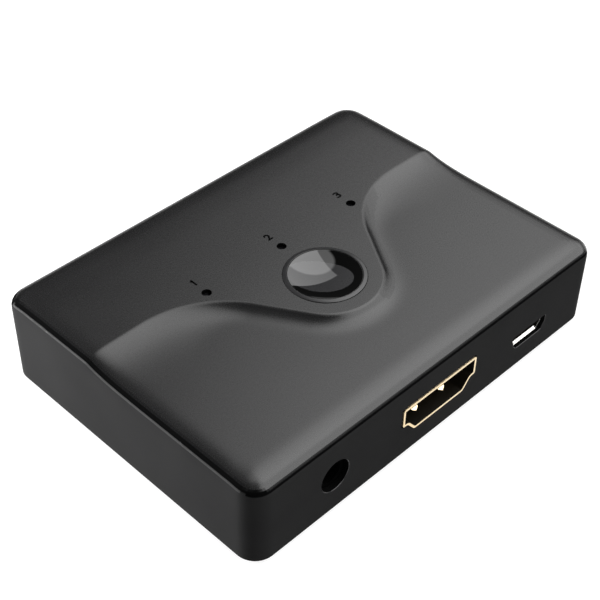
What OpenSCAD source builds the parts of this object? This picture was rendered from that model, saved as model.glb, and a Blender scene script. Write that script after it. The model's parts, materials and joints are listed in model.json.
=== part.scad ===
// A three-input video switch box: a low black case with a sculpted roof, one
// press button, three lamp holes and its sockets along the front and back walls.
// The origin is under the middle of the case, on the surface that it stands on.
// X runs along the front wall, -Y faces the front and +Z is up.

/* [Case] */
// Width of the case along its front wall
case_w = 70; // [63:0.5:90]
// Depth of the case from front to back
case_d = 51; // [46:0.5:70]
// Height of the case from its underside to the plateau
case_h = 14.5; // [14:0.25:20]
// Radius of the upright corners
corner_r = 3.2; // [2.4:0.1:4]
// Thickness of the side walls
wall = 1.8; // [1.4:0.1:2.2]
// Thickness of the roof over the apron
roof_t = 1.6; // [1.2:0.1:2]
// How far the rounded top edge runs in from the wall
edge_run = 4.4; // [3:0.1:5.2]
// How far the rounded top edge falls at the wall
edge_fall = 2.2; // [1:0.1:2.4]
// How late the rounded top edge turns down: 2 is an ellipse, more is flatter at first
edge_power = 2.7; // [2:0.1:3.5]

/* [Roof step] */
// Drop from the plateau to the apron
step_drop = 0.85; // [0.5:0.05:1.1]
// Distance of the straight part of the step behind the middle
step_y = 7.1; // [5:0.1:10]
// Radius of the tongue that carries the button
tongue_r = 8.1; // [7.8:0.1:9]
// Angle that the tongue's flanks make with the front wall
tongue_angle = 58; // [45:1:70]
// Radius of the sweep from the flank into the straight part
sweep_r = 16.5; // [12:0.5:18]
// Width of the slope round the tongue
slope_tongue = 5; // [3:0.1:6]
// Width of the slope at the sides of the case
slope_side = 13; // [8:0.5:15]
// Width over which the crest of the step is rounded
crest_round = 0.6; // [0.3:0.1:0.9]
// How soon the slope fades below the crest: 1 is even, more is steeper at first
slope_fade = 3; // [1:0.5:4]

/* [Base] */
// Thickness of the base plate
base_t = 1.3; // [1.2:0.1:2]
// Gap between the base plate and the case walls
base_gap = 0.1; // [0.05:0.05:0.3]
// Height of the pads that carry the board
pad_h = 0.75; // [0.7:0.05:2]
// Radius of the board pads and the roof posts
post_r = 2.2; // [2.1:0.1:2.6]
// Distance of each screw from the inside of the side wall
screw_inset_x = 3.2; // [3:0.1:4]
// Distance of each screw from the inside of the front and back walls
screw_inset_y = 3.2; // [3:0.1:4]
// Radius of a foot
foot_r = 4; // [3:0.1:4.5]
// How far the feet stand out of the base plate
foot_proud = 0.8; // [0.4:0.1:2]
// Depth of the pocket that a foot is glued into
foot_pocket = 0.5; // [0.3:0.1:0.6]
// Gap round a foot in its pocket
foot_gap = 0.1; // [0.05:0.05:0.3]
// Distance from each screw to its foot, along X
foot_in_x = 6.5; // [5.5:0.1:9]
// Distance from each screw to its foot, along Y
foot_in_y = 4.5; // [3.5:0.1:7]

/* [Screws] */
// Radius of the screw shank
screw_r = 1; // [0.8:0.05:1.1]
// Length of the shank
screw_l = 7.5; // [6:0.5:9]
// Radius of the screw head
head_r = 1.8; // [1.6:0.05:1.9]
// Height of the screw head
head_h = 0.9; // [0.7:0.05:1]
// Gap between the shank and its pilot hole
pilot_gap = 0.02; // [0.01:0.01:0.05]
// Gap between the screw and the holes that it passes through
screw_gap = 0.2; // [0.1:0.05:0.3]

/* [Board] */
// Thickness of the circuit board
board_t = 1.6; // [1:0.1:1.6]
// Gap between the board and the case walls
board_gap = 0.5; // [0.3:0.1:0.8]

/* [Sockets] */
// How far a video socket stands out of its wall
port_proud = 0.15; // [0.05:0.05:0.5]
// Gap between a socket and its cut-out
port_gap = 0.15; // [0.05:0.05:0.25]
// Gap between the outer input sockets and the screw posts beside them
input_margin = 0.75; // [0.3:0.05:1.2]
// Outside width of a video socket
video_w = 15.1; // [14.8:0.1:15.4]
// Outside height of a video socket
video_h = 5.1; // [4.9:0.05:5.3]
// Height of the upright sides of a video socket
video_side = 3.25; // [3:0.05:3.4]
// Width of the shoulder under each side
video_shoulder = 0.95; // [0.7:0.05:1.1]
// Width of the floor of a video socket
video_floor = 10.2; // [9.8:0.1:10.6]
// Length of a video socket
video_l = 11; // [10:0.5:12]
// Thickness of the sheet metal of the sockets
sheet = 0.35; // [0.25:0.05:0.4]
// Gap between the remote's jack and the screw post beside it
jack_margin = 4.2; // [1.5:0.1:6]
// Radius of the jack's bore
jack_bore = 1.8; // [1.75:0.01:1.85]
// Radius of the jack's barrel
jack_barrel = 2.45; // [2.3:0.05:2.5]
// How far the barrel stays behind the wall's outer face
jack_recess = 0.9; // [0.3:0.1:1.4]
// Gap between the power socket and the screw post beside it
power_margin = 3.85; // [1:0.05:6]
// Outside width of the power socket
power_w = 7.5; // [7.3:0.1:7.8]
// Outside height of the power socket
power_h = 2.35; // [2.2:0.05:2.6]
// How far the power socket stays behind the wall's outer face
power_recess = 0.6; // [0.3:0.1:1.4]

/* [Button] */
// Distance of the button in front of the middle
button_y = 3.4; // [2.5:0.1:4]
// Radius of the button where it passes the roof
button_r = 6; // [5:0.1:6.2]
// Running gap between the button and the roof
button_gap = 0.12; // [0.08:0.02:0.2]
// Travel of the button
button_travel = 0.3; // [0.2:0.05:0.4]
// Width of the bevelled rim
rim_w = 0.6; // [0.4:0.1:1]
// How far the rim rises above the plateau
rim_rise = 0.3; // [0.1:0.05:0.6]
// How far the rim's top falls towards its outer edge
rim_fall = 0.12; // [0.04:0.02:0.3]
// Depth of the finger dish
dish_depth = 0.9; // [0.4:0.1:1.1]
// Width of the flange that keeps the button in
flange_w = 1; // [0.6:0.1:1.1]
// Height of the tactile switch up to the top of its plunger
switch_h = 5; // [4.5:0.1:5.4]

/* [Lamps] */
// Distance between the lamp holes
lamp_pitch = 14.6; // [12:0.1:16]
// Distance of the lamp holes behind the middle
lamp_y = 5.4; // [5.2:0.1:6]
// Radius of a lamp hole
lamp_r = 0.7; // [0.5:0.05:0.9]
// How far the light guide stays below the plateau
lamp_recess = 0.6; // [0.3:0.1:1]

/* [Hidden] */
$fn = 48;
eps = 0.01;
// How far a cut runs past the face that it opens
over = 1;

// Levels, from the feet up
z_case = foot_proud;
z_pad = z_case + base_t;
z_board = z_pad + pad_h;
z_top = z_board + board_t;
z_roof = z_case + case_h;
z_apron = z_roof - step_drop;
z_ceiling = z_apron - roof_t;

// The level that the screw heads pull against
head_sunk = 0.15;
screw_seat = z_case + head_h + head_sunk;

// Inside of the case and the places of the screws and feet
inner_w = case_w - 2 * wall;
inner_d = case_d - 2 * wall;
least_r = 0.5;
inner_r = max(corner_r - wall, least_r);
screw_x = inner_w / 2 - screw_inset_x;
screw_y = inner_d / 2 - screw_inset_y;
foot_x = screw_x - foot_in_x;
foot_y = screw_y - foot_in_y;
mate_y = case_d / 2 + port_proud;
corners = [for (sx = [-1, 1], sy = [-1, 1]) [sx, sy]];

// The crest of the roof step: tongue arc, straight flank, sweep, straight run
tongue_y = -button_y;
flank_x = tongue_r * sin(tongue_angle);
flank_y = tongue_y - tongue_r * cos(tongue_angle);
flank_l = (step_y - sweep_r * (1 - cos(tongue_angle)) - flank_y) / sin(tongue_angle);
sweep_start = flank_x + flank_l * cos(tongue_angle);
sweep_x = sweep_start + sweep_r * sin(tongue_angle);
sweep_y = step_y - sweep_r;

// Counts of the roof's surface grid
edge_rows = 6;
roof_columns = 34;
plateau_rows = 3;
slope_steps = [0.05, 0.12, 0.2, 0.32, 0.5, 0.72, 1];
apron_rows = 3;
least_row = 0.2;

// Video socket details
video_pins = 10;
pin_pitch = 1;
pin_w = 0.42;
pin_t = 0.12;
tongue_w = 11.2;
tongue_t = 1.3;
tongue_z = 2.05;
tongue_set = 2.4;
contact_set = 0.4;
block_l = 3.4;
tail_gap = 0.2;
tail_t = 0.3;
tail_foot = 1;
fit_gap = 0.02;
finger_x = 2.8;
finger_w = 1.7;
finger_rise = 0.5;
finger_tip = 2.3;
finger_ramp = 0.6;
finger_flat = 0.4;
finger_l = 4;
leg_l = 1.8;
leg_drop = 0.35;
leg_places = [5, 9];
slot_gap = 0.15;
video_reach = video_l + tail_gap + tail_foot;

// Upper and lower contacts of a video socket: [x, z] of the underside of each strip
function pin_row(count) = [for (i = [0:count - 1]) (i - (count - 1) / 2) * pin_pitch];
video_strips = concat(
    [for (x = pin_row(video_pins)) [x, tongue_z + tongue_t]],
    [for (x = pin_row(video_pins - 1)) [x, tongue_z - pin_t]]
);

// Power socket details
power_l = 5;
power_side = 1.15;
power_floor = 5.7;
power_tongue_w = 4.6;
power_tongue_t = 0.6;
power_tongue_set = 0.7;
power_contact_set = 0.3;
power_tongue_z = 1.3;
power_pins = 5;
power_pitch = 0.65;
power_pin_w = 0.3;
power_block = 1.4;

// Jack details
jack_w = 6.2;
jack_l = 12;
jack_end = 1;
jack_step = 0.2;
jack_axis = 2.55;
jack_hole_gap = 0.1;
jack_blade_w = 1.4;
jack_blade_t = 0.3;
jack_blades = [[-1, 2.4], [1, 5.4], [-1, 9.2]];
jack_block_y = wall + jack_step - jack_recess;
jack_rear = -case_d / 2 + jack_recess + jack_block_y + jack_l;

// Places of the sockets along their walls
input_pitch = screw_x - post_r - input_margin - video_w / 2;
jack_x = screw_x - post_r - jack_margin - jack_w / 2;
power_x = screw_x - post_r - power_margin - power_w / 2;

// Button and switch details
flange_gap = 0.05;
flange_t = 1;
collar_gap = 0.2;
collar_t = 0.7;
collar_h = 2;
dish_gap = 0.03;
dish_t = 1.9;
dish_edge = 0.05;
hub_r = 2.2;
cap_floor = 1;
cap_wall = 1.1;
z_flange = z_ceiling - flange_gap;
z_plunger = z_top + switch_h;
z_rim = z_roof + rim_rise;
dish_r = button_r - rim_w;
z_dish = z_rim - dish_t;
switch_w = 6;
switch_base_h = 3.1;
switch_floor = 0.8;
switch_well = 2.35;
switch_frame_t = 0.3;
switch_frame_gap = 0.05;
plunger_r = 1.75;
plunger_gap = 0.1;
plunger_flange = 2.2;
plunger_flange_t = 0.65;
plunger_nub = 1;
dome_r = 2.1;
dome_spare = 0.1;
dome_rise = button_travel + dome_spare;
dome_t = 0.12;
switch_leg_w = 0.7;
switch_leg_h = 0.9;
switch_leg_foot = 0.9;
switch_leg_y = 2.25;
switch_tab_w = 2.4;
switch_tab_h = 2.2;

// Light guide and lamp details
guide_w = 1.6;
guide_t = 1.4;
guide_end = 1.5;
guide_gap = 0.08;
guide_leg_r = 0.75;
lamp_size = [1.6, 0.8, 0.6];
lamp_air = 0.25;

// Parts on the board: [x, y] from the middle
chip_size = [10, 10, 1.2];
chip_x = -14.5;
chip_gap = 1;
chip_pins = 16;
chip_pin_pitch = 0.5;
chip_pin_w = 0.22;
chip_pin_l = 1;
chip_pin_t = 0.15;
chip_lift = 0.1;
chip_at = [chip_x, jack_rear + chip_gap + chip_pin_l + chip_size[1] / 2];
memory_size = [4.4, 3, 1];
memory_gap = 0.65;
memory_y = mate_y - video_reach - memory_gap - memory_size[1] / 2;
memory_pins = 4;
memory_pin_pitch = 0.65;
regulator_size = [6.5, 3.5, 1.6];
regulator_side = 0.2;
regulator_y = -12.5;
regulator_at = [power_x - regulator_side, regulator_y];
regulator_tab = [3, 1.5, 0.4];
regulator_pin_w = 0.7;
regulator_pin_pitch = 2.3;
can_r = 2;
can_h = 5.2;
can_base = [4.3, 4.3, 0.6];
can_side = 7;
can_y = -9;
can_at = [regulator_at[0] - can_side, can_y];
crystal_size = [3.2, 2.5, 0.8];
crystal_at = [-6.5, 3];
chip_cap_size = [1.6, 0.8, 0.8];
cap_gap = 2.1;
cap_step = [2.6, 2.2];
// Rows of chip capacitors: where each starts, the way that it runs and how many it has
cap_x = [-24.5, -6, 7, 13];
cap_y = [
    jack_rear + cap_gap + chip_cap_size[1] / 2,
    video_reach - mate_y + cap_gap - chip_cap_size[1] / 2,
    -2,
    -4
];
cap_way = [[0, 1], [1, 0], [1, 0], [1, 0]];
cap_count = [5, 6, 6, 5];

// Small helpers

function clamp(v, low, high) = max(low, min(high, v));

function smooth(t) = t * t * (3 - 2 * t);

module rounded_plate(w, d, r, h) {
    linear_extrude(h) union() {
        square([w - 2 * r, d], center = true);
        square([w, d - 2 * r], center = true);
        for (c = corners)
            translate([c[0] * (w / 2 - r), c[1] * (d / 2 - r)]) circle(r);
    }
}

module at_screws() {
    for (c = corners)
        translate([c[0] * screw_x, c[1] * screw_y, 0]) children();
}

module at_feet() {
    for (c = corners)
        translate([c[0] * foot_x, c[1] * foot_y, 0]) children();
}

module centred_box(size) {
    translate([-size[0] / 2, -size[1] / 2, 0]) cube(size);
}

// The roof's height

// Distance inside the case's outline
function inside(x, y) =
    let (qx = abs(x) - (case_w / 2 - corner_r), qy = abs(y) - (case_d / 2 - corner_r))
    corner_r - norm([max(qx, 0), max(qy, 0)]) - min(max(qx, qy), 0);

// Distance along the flank of the tongue, from where the arc ends
function along_flank(x, y) =
    (abs(x) - flank_x) * cos(tongue_angle) + (y - flank_y) * sin(tongue_angle);

// Distance from the crest of the step, positive on the apron
function past_crest(x, y) =
    let (ax = abs(x), along = along_flank(x, y))
    along < 0 ? norm([ax, y - tongue_y]) - tongue_r
    : along < flank_l ? (ax - flank_x) * sin(tongue_angle) - (y - flank_y) * cos(tongue_angle)
    : ax < sweep_x ? sweep_r - norm([ax - sweep_x, y - sweep_y])
    : step_y - y;

// Share of the way from the tongue's steep slope to the gentle slope at the sides
function side_share(x, y) =
    let (ax = abs(x))
    along_flank(x, y) < flank_l ? 0
    : ax >= sweep_x ? 1
    : clamp(1 - atan2(sweep_x - ax, y - sweep_y) / tongue_angle, 0, 1);

function slope_width(x, y) =
    slope_tongue + (slope_side - slope_tongue) * smooth(side_share(x, y));

// Fall of the slope from crest to foot: it steepens over the first share of its width, then fades out
function slope_fall(t, share) =
    let (rounded = share / 2, faded = (1 - share) / (slope_fade + 1))
    (t < share ? t * t / (2 * share) : rounded + faded * (1 - pow((1 - t) / (1 - share), slope_fade + 1)))
    / (rounded + faded);

function edge_drop(d) =
    let (t = clamp(1 - d / edge_run, 0, 1)) edge_fall * (1 - pow(1 - pow(t, edge_power), 1 / edge_power));

function roof_height(x, y) =
    let (w = slope_width(x, y), t = clamp(past_crest(x, y) / w, 0, 1))
    z_roof - step_drop * slope_fall(t, crest_round / w) - edge_drop(inside(x, y));

// The crest as a height over X, and the slant of the crest there
function crest_y(x) =
    let (ax = abs(x))
    ax < flank_x ? tongue_y - sqrt(tongue_r * tongue_r - ax * ax)
    : ax < sweep_start ? flank_y + (ax - flank_x) * tan(tongue_angle)
    : ax < sweep_x ? sweep_y + sqrt(sweep_r * sweep_r - pow(ax - sweep_x, 2))
    : step_y;

function crest_slant(x) =
    let (ax = abs(x))
    ax < flank_x ? asin(ax / tongue_r)
    : ax < sweep_start ? tongue_angle
    : ax < sweep_x ? asin((sweep_x - ax) / sweep_r)
    : 0;

// Grid lines: close together near the walls, where the top edge turns down
function edge_lines(half) =
    [for (i = [0:edge_rows]) -half + edge_run * pow(i / edge_rows, 2)];

function across(low, high, count) = [for (i = [1:count]) low + (high - low) * i / (count + 1)];

function columns() =
    let (left = edge_lines(case_w / 2), half = case_w / 2 - edge_run)
    concat(left, across(-half, half, roof_columns), [for (i = [edge_rows:-1:0]) -left[i]]);

function rows(x) =
    let (front = edge_lines(case_d / 2), half = case_d / 2 - edge_run, y = crest_y(x),
         foot = max(slope_width(x, y) / cos(crest_slant(x)), 0),
         low = max(y - foot, least_row - half))
    concat(
        front,
        across(-half, low, apron_rows),
        [for (i = [len(slope_steps) - 1:-1:0]) y + (low - y) * slope_steps[i]],
        [y],
        across(y, half, plateau_rows),
        [for (i = [edge_rows:-1:0]) -front[i]]
    );

// Bends the corner of a square grid to the case's round corner
function to_corner(x, y) =
    let (a = (abs(x) - case_w / 2 + corner_r) / corner_r, b = (abs(y) - case_d / 2 + corner_r) / corner_r)
    a <= 0 || b <= 0 ? [x, y]
    : [sign(x) * (case_w / 2 - corner_r + corner_r * a * sqrt(1 - b * b / 2)),
       sign(y) * (case_d / 2 - corner_r + corner_r * b * sqrt(1 - a * a / 2))];

// The whole outside of the case as one closed surface
module case_block() {
    xs = columns();
    n = len(xs);
    m = len(rows(0));
    plan = [for (x = xs) for (y = rows(x)) to_corner(x, y)];
    top = [for (p = plan) [p[0], p[1], roof_height(p[0], p[1])]];
    rim = concat(
        [for (i = [0:n - 1]) i * m],
        [for (j = [1:m - 1]) (n - 1) * m + j],
        [for (i = [n - 2:-1:0]) i * m + m - 1],
        [for (j = [m - 2:-1:1]) j]
    );
    foot = [for (k = rim) [plan[k][0], plan[k][1], z_case]];
    first = n * m;
    count = len(rim);
    cells = [for (i = [0:n - 2]) for (j = [0:m - 2]) let (k = i * m + j) each [
        [k, k + m + 1, k + m],
        [k, k + 1, k + m + 1]
    ]];
    sides = [for (k = [0:count - 1]) let (l = (k + 1) % count)
        [rim[k], rim[l], first + l, first + k]];
    underside = [[for (k = [0:count - 1]) first + k]];
    polyhedron(concat(top, foot), concat(cells, sides, underside));
}

// Outlines of the sockets, grown by a gap: a wide top, upright sides, a shoulder and a narrow floor

function socket_half(w, h, side, shoulder, floor_w, grow) =
    let (k = (w / 2 - shoulder - floor_w / 2) / (h - side), lean = grow * sqrt(1 + k * k))
    [
        [w / 2 + grow, h + grow],
        [w / 2 + grow, h - side - grow],
        [floor_w / 2 + (h - side - grow) * k + lean, h - side - grow],
        [floor_w / 2 - grow * k + lean, -grow]
    ];

module socket_outline(half) {
    other = [for (i = [len(half) - 1:-1:0]) [-half[i][0], half[i][1]]];
    polygon(concat(half, other));
}

module video_outline(grow) {
    socket_outline(socket_half(video_w, video_h, video_side, video_shoulder, video_floor, grow));
}

module power_outline(grow) {
    socket_outline(socket_half(power_w, power_h, power_side, 0, power_floor, grow));
}

// Pushes an outline back from a socket's mouth
module push_back(from, length) {
    translate([0, from + length, 0]) rotate([90, 0, 0]) linear_extrude(length) children();
}

module at_output() {
    translate([0, -mate_y, z_top]) children();
}

module at_input(i) {
    translate([(i - 2) * input_pitch, mate_y, z_top]) rotate([0, 0, 180]) children();
}

module at_jack() {
    translate([-jack_x, -case_d / 2 + jack_recess, z_top]) children();
}

module at_power() {
    translate([power_x, -case_d / 2 + power_recess, z_top]) children();
}

module at_video_sockets() {
    at_output() children();
    for (i = [1:3]) at_input(i) children();
}

// Case

module cover_hollow() {
    translate([0, 0, z_case - eps]) rounded_plate(inner_w, inner_d, inner_r, z_ceiling - z_case + eps);
}

module cover_openings() {
    reach = wall + port_proud + 2 * over;
    at_video_sockets() push_back(-over, reach) video_outline(port_gap);
    at_power() push_back(-power_recess - over, reach) power_outline(port_gap);
    at_jack() translate([0, -jack_recess - over, jack_axis])
        rotate([-90, 0, 0]) cylinder(r = jack_barrel + jack_hole_gap, h = reach);
    translate([0, tongue_y, z_ceiling - over]) cylinder(r = button_r + button_gap, h = case_h);
    for (i = [-1:1]) translate([i * lamp_pitch, lamp_y, z_ceiling - over])
        cylinder(r = lamp_r, h = case_h);
}

module button_collar() {
    r = button_r + flange_w + collar_gap;
    translate([0, tongue_y, z_ceiling - collar_h]) difference() {
        cylinder(r = r + collar_t, h = collar_h + roof_t / 2);
        translate([0, 0, -over]) cylinder(r = r, h = collar_h + over);
    }
}

module top_cover() {
    color([0.13, 0.13, 0.14]) difference() {
        union() {
            difference() {
                case_block();
                cover_hollow();
            }
            at_screws() translate([0, 0, z_top]) cylinder(r = post_r, h = z_ceiling - z_top + roof_t / 2);
            button_collar();
        }
        cover_openings();
        at_screws() translate([0, 0, z_top - over])
            cylinder(r = screw_r + pilot_gap, h = screw_seat + screw_l - z_top + 2 * over);
    }
}

module base_plate() {
    r = inner_r - base_gap;
    color([0.12, 0.12, 0.13]) difference() {
        union() {
            translate([0, 0, z_case])
                rounded_plate(inner_w - 2 * base_gap, inner_d - 2 * base_gap, r, base_t);
            at_screws() translate([0, 0, z_case]) cylinder(r = post_r, h = base_t + pad_h);
        }
        at_screws() {
            translate([0, 0, z_case - over]) cylinder(r = screw_r + screw_gap, h = base_t + pad_h + 2 * over);
            translate([0, 0, z_case - over]) cylinder(r = head_r + screw_gap, h = screw_seat - z_case + over);
        }
        at_feet() translate([0, 0, z_case - over])
            cylinder(r = foot_r + foot_gap, h = foot_pocket + over);
    }
}

module case_screws() {
    slot_l = 2.3;
    slot_w = 0.4;
    slot_deep = 0.5;
    color([0.55, 0.55, 0.57]) at_screws() difference() {
        union() {
            translate([0, 0, screw_seat - head_h]) cylinder(r = head_r, h = head_h);
            translate([0, 0, screw_seat - eps]) cylinder(r = screw_r, h = screw_l + eps);
        }
        for (turn = [0, 90]) rotate([0, 0, turn])
            translate([0, 0, screw_seat - head_h - over]) centred_box([slot_l, slot_w, slot_deep + over]);
    }
}

module rubber_feet() {
    soft = 0.3;
    color([0.08, 0.08, 0.08]) at_feet() rotate_extrude() polygon([
        [0, 0], [foot_r - soft, 0], [foot_r, soft],
        [foot_r, z_case + foot_pocket], [0, z_case + foot_pocket]
    ]);
}

// Board

module leg_slots(w) {
    for (side = [-1, 1], y = leg_places)
        translate([side * (w / 2 - sheet / 2), y, -board_t - over])
            centred_box([sheet + 2 * slot_gap, leg_l + 2 * slot_gap, board_t + 2 * over]);
}

module main_board() {
    board_r = 1;
    color([0.05, 0.3, 0.14]) difference() {
        translate([0, 0, z_board])
            rounded_plate(inner_w - 2 * board_gap, inner_d - 2 * board_gap, board_r, board_t);
        at_screws() translate([0, 0, z_board - over])
            cylinder(r = screw_r + screw_gap, h = board_t + 2 * over);
        at_video_sockets() leg_slots(video_w);
    }
}

// Video sockets, each from its mouth at y = 0 back into the case

module video_fingers() {
    profile = [
        [finger_tip, -sheet / 2],
        [finger_tip, 0],
        [finger_tip + finger_ramp, finger_rise],
        [finger_tip + finger_ramp + finger_flat, finger_rise],
        [finger_tip + finger_l, 0],
        [finger_tip + finger_l, -sheet / 2]
    ];
    for (side = [-1, 1]) translate([side * finger_x + finger_w / 2, 0, sheet])
        rotate([90, 0, -90]) linear_extrude(finger_w) polygon([for (p = profile) [-p[0], p[1]]]);
}

module video_shell() {
    color([0.86, 0.68, 0.36]) {
        difference() {
            push_back(0, video_l) video_outline(0);
            push_back(-over, video_l + 2 * over) video_outline(-sheet);
        }
        video_fingers();
        translate([0, 0, video_h]) mirror([0, 0, 1]) video_fingers();
        for (side = [-1, 1], y = leg_places)
            translate([side * (video_w / 2 - sheet / 2), y, -board_t - leg_drop])
                centred_box([sheet, leg_l, board_t + leg_drop + video_h - video_side + sheet]);
    }
}

module video_insulator() {
    color([0.05, 0.05, 0.05]) difference() {
        union() {
            push_back(video_l - block_l, block_l) video_outline(-sheet - fit_gap);
            translate([-tongue_w / 2, tongue_set, tongue_z])
                cube([tongue_w, video_l - block_l - tongue_set + eps, tongue_t]);
        }
        for (s = video_strips)
            translate([s[0] - pin_w / 2 - fit_gap, video_l - block_l - eps, s[1] - fit_gap])
                cube([pin_w + 2 * fit_gap, block_l + over, pin_t + 2 * fit_gap]);
    }
}

module video_contacts() {
    start = tongue_set + contact_set;
    back = video_l + tail_gap;
    color([0.85, 0.7, 0.35]) for (s = video_strips) translate([s[0] - pin_w / 2, 0, 0]) {
        translate([0, start, s[1]]) cube([pin_w, back + tail_t - start, pin_t]);
        translate([0, back, 0]) cube([pin_w, tail_t, s[1] + pin_t]);
        translate([0, back, 0]) cube([pin_w, tail_foot, pin_t]);
    }
}

// Jack: a block on the board with a barrel through the wall, bored from its mouth at y = 0

module remote_jack_body() {
    color([0.04, 0.04, 0.04]) at_jack() difference() {
        union() {
            translate([-jack_w / 2, jack_block_y, 0]) cube([jack_w, jack_l, 2 * jack_axis]);
            translate([0, 0, jack_axis]) rotate([-90, 0, 0])
                cylinder(r = jack_barrel, h = jack_block_y + over);
        }
        translate([0, -over, jack_axis]) rotate([-90, 0, 0])
            cylinder(r = jack_bore, h = jack_block_y + jack_l - jack_end + over);
    }
}

module remote_jack_contacts() {
    color([0.75, 0.75, 0.74]) at_jack() for (b = jack_blades)
        translate([b[0] * (jack_w / 2 + jack_blade_t / 2), jack_block_y + b[1], 0]) {
            centred_box([jack_blade_t, jack_blade_w, jack_axis]);
            translate([b[0] * jack_blade_t, 0, 0])
                centred_box([3 * jack_blade_t, jack_blade_w, jack_blade_t]);
        }
}

// Power socket

module power_shell() {
    color([0.78, 0.78, 0.78]) at_power() difference() {
        push_back(0, power_l) power_outline(0);
        push_back(-over, power_l + 2 * over) power_outline(-sheet);
    }
}

module power_insulator() {
    color([0.06, 0.06, 0.06]) at_power() {
        push_back(power_l - power_block, power_block) power_outline(-sheet - fit_gap);
        translate([-power_tongue_w / 2, power_tongue_set, power_tongue_z])
            cube([power_tongue_w, power_l - power_block - power_tongue_set + eps, power_tongue_t]);
    }
}

module power_contacts() {
    start = power_tongue_set + power_contact_set;
    first = -(power_pins - 1) / 2 * power_pitch - power_pin_w / 2;
    color([0.85, 0.7, 0.35]) at_power() for (i = [0:power_pins - 1])
        translate([first + i * power_pitch, start, power_tongue_z - pin_t])
            cube([power_pin_w, power_l - power_block - start, pin_t]);
}

// Button: a flanged cap with a bevelled rim, and a glossy dish set in it

module button_cap() {
    color([0.13, 0.13, 0.14]) translate([0, tongue_y, 0]) rotate_extrude() polygon([
        [0, z_plunger], [hub_r, z_plunger], [hub_r, z_dish - cap_floor],
        [button_r - cap_wall, z_dish - cap_floor], [button_r - cap_wall, z_flange - flange_t],
        [button_r + flange_w, z_flange - flange_t], [button_r + flange_w, z_flange],
        [button_r, z_flange], [button_r, z_rim - rim_fall], [dish_r + dish_gap, z_rim],
        [dish_r + dish_gap, z_dish], [0, z_dish]
    ]);
}

module button_dish() {
    z_edge = z_rim - dish_edge;
    ball = (dish_r * dish_r + dish_depth * dish_depth) / (2 * dish_depth);
    color([0.02, 0.02, 0.02]) translate([0, tongue_y, 0]) difference() {
        translate([0, 0, z_dish]) cylinder(r = dish_r, h = z_edge - z_dish);
        translate([0, 0, z_edge - dish_depth + ball]) sphere(r = ball, $fn = 96);
    }
}

// Tactile switch under the button, standing on the board

module at_switch() {
    translate([0, tongue_y, z_top]) children();
}

module switch_base() {
    color([0.06, 0.06, 0.06]) at_switch() difference() {
        centred_box([switch_w, switch_w, switch_base_h]);
        translate([0, 0, switch_floor]) cylinder(r = switch_well, h = switch_base_h);
    }
}

module switch_frame() {
    tab_y = switch_w / 2 + switch_frame_t / 2;
    tab_z = switch_base_h + switch_frame_t - switch_tab_h;
    color([0.75, 0.75, 0.74]) at_switch() difference() {
        union() {
            translate([0, 0, switch_base_h]) centred_box([switch_w, switch_w, switch_frame_t]);
            for (side = [-1, 1]) translate([0, side * tab_y, tab_z])
                centred_box([switch_tab_w, switch_frame_t, switch_tab_h]);
        }
        translate([0, 0, switch_base_h - over])
            cylinder(r = plunger_r + plunger_gap, h = switch_frame_t + 2 * over);
    }
}

module switch_plunger() {
    z_high = switch_base_h - switch_frame_gap;
    z_low = switch_floor + dome_rise + dome_t + switch_frame_gap;
    color([0.1, 0.1, 0.1]) at_switch() {
        translate([0, 0, z_high - eps]) cylinder(r = plunger_r, h = switch_h - z_high + eps);
        translate([0, 0, z_high - plunger_flange_t]) cylinder(r = plunger_flange, h = plunger_flange_t);
        translate([0, 0, z_low]) cylinder(r = plunger_nub, h = z_high - z_low);
    }
}

module switch_dome() {
    ball = (dome_r * dome_r + dome_rise * dome_rise) / (2 * dome_rise);
    color([0.8, 0.8, 0.78]) at_switch() translate([0, 0, switch_floor]) intersection() {
        cylinder(r = dome_r, h = dome_rise + dome_t);
        translate([0, 0, dome_rise + dome_t - ball]) difference() {
            sphere(r = ball, $fn = 96);
            sphere(r = ball - dome_t, $fn = 96);
        }
    }
}

module switch_legs() {
    color([0.8, 0.8, 0.78]) at_switch() for (c = corners)
        translate([c[0] * (switch_w / 2 + switch_frame_t / 2), c[1] * switch_leg_y, 0]) {
            centred_box([switch_frame_t, switch_leg_w, switch_leg_h]);
            translate([c[0] * switch_leg_foot / 2, 0, 0])
                centred_box([switch_leg_foot + switch_frame_t, switch_leg_w, switch_frame_t]);
        }
}

// Lamps and the light guide that carries their light to the roof

module light_guide() {
    pin_r = lamp_r - guide_gap;
    pin_h = z_roof - lamp_recess - z_ceiling;
    bar_l = 2 * (lamp_pitch + guide_end);
    z_lamp = z_top + lamp_size[2] + lamp_air;
    color([0.2, 0.2, 0.22]) translate([0, lamp_y, 0]) {
        translate([0, 0, z_ceiling - guide_t]) centred_box([bar_l, guide_w, guide_t]);
        for (i = [-1:1]) translate([i * lamp_pitch, 0, 0]) {
            translate([0, 0, z_ceiling - eps]) cylinder(r = pin_r, h = pin_h + eps);
            translate([0, 0, z_lamp]) cylinder(r = guide_leg_r, h = z_ceiling - guide_t - z_lamp + eps);
        }
    }
}

module port_lamps() {
    color([0.9, 0.9, 0.85]) for (i = [-1:1])
        translate([i * lamp_pitch, lamp_y, z_top]) centred_box(lamp_size);
}

// Parts soldered to the board

module on_board(place) {
    translate([place[0], place[1], z_top]) children();
}

module gull_pin(w, l, h, t) {
    translate([0, -w / 2, 0]) cube([l, w, t]);
    translate([0, -w / 2, 0]) cube([t, w, h]);
}

module switch_chip() {
    color([0.07, 0.07, 0.07]) on_board(chip_at) translate([0, 0, chip_lift]) centred_box(chip_size);
}

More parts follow.
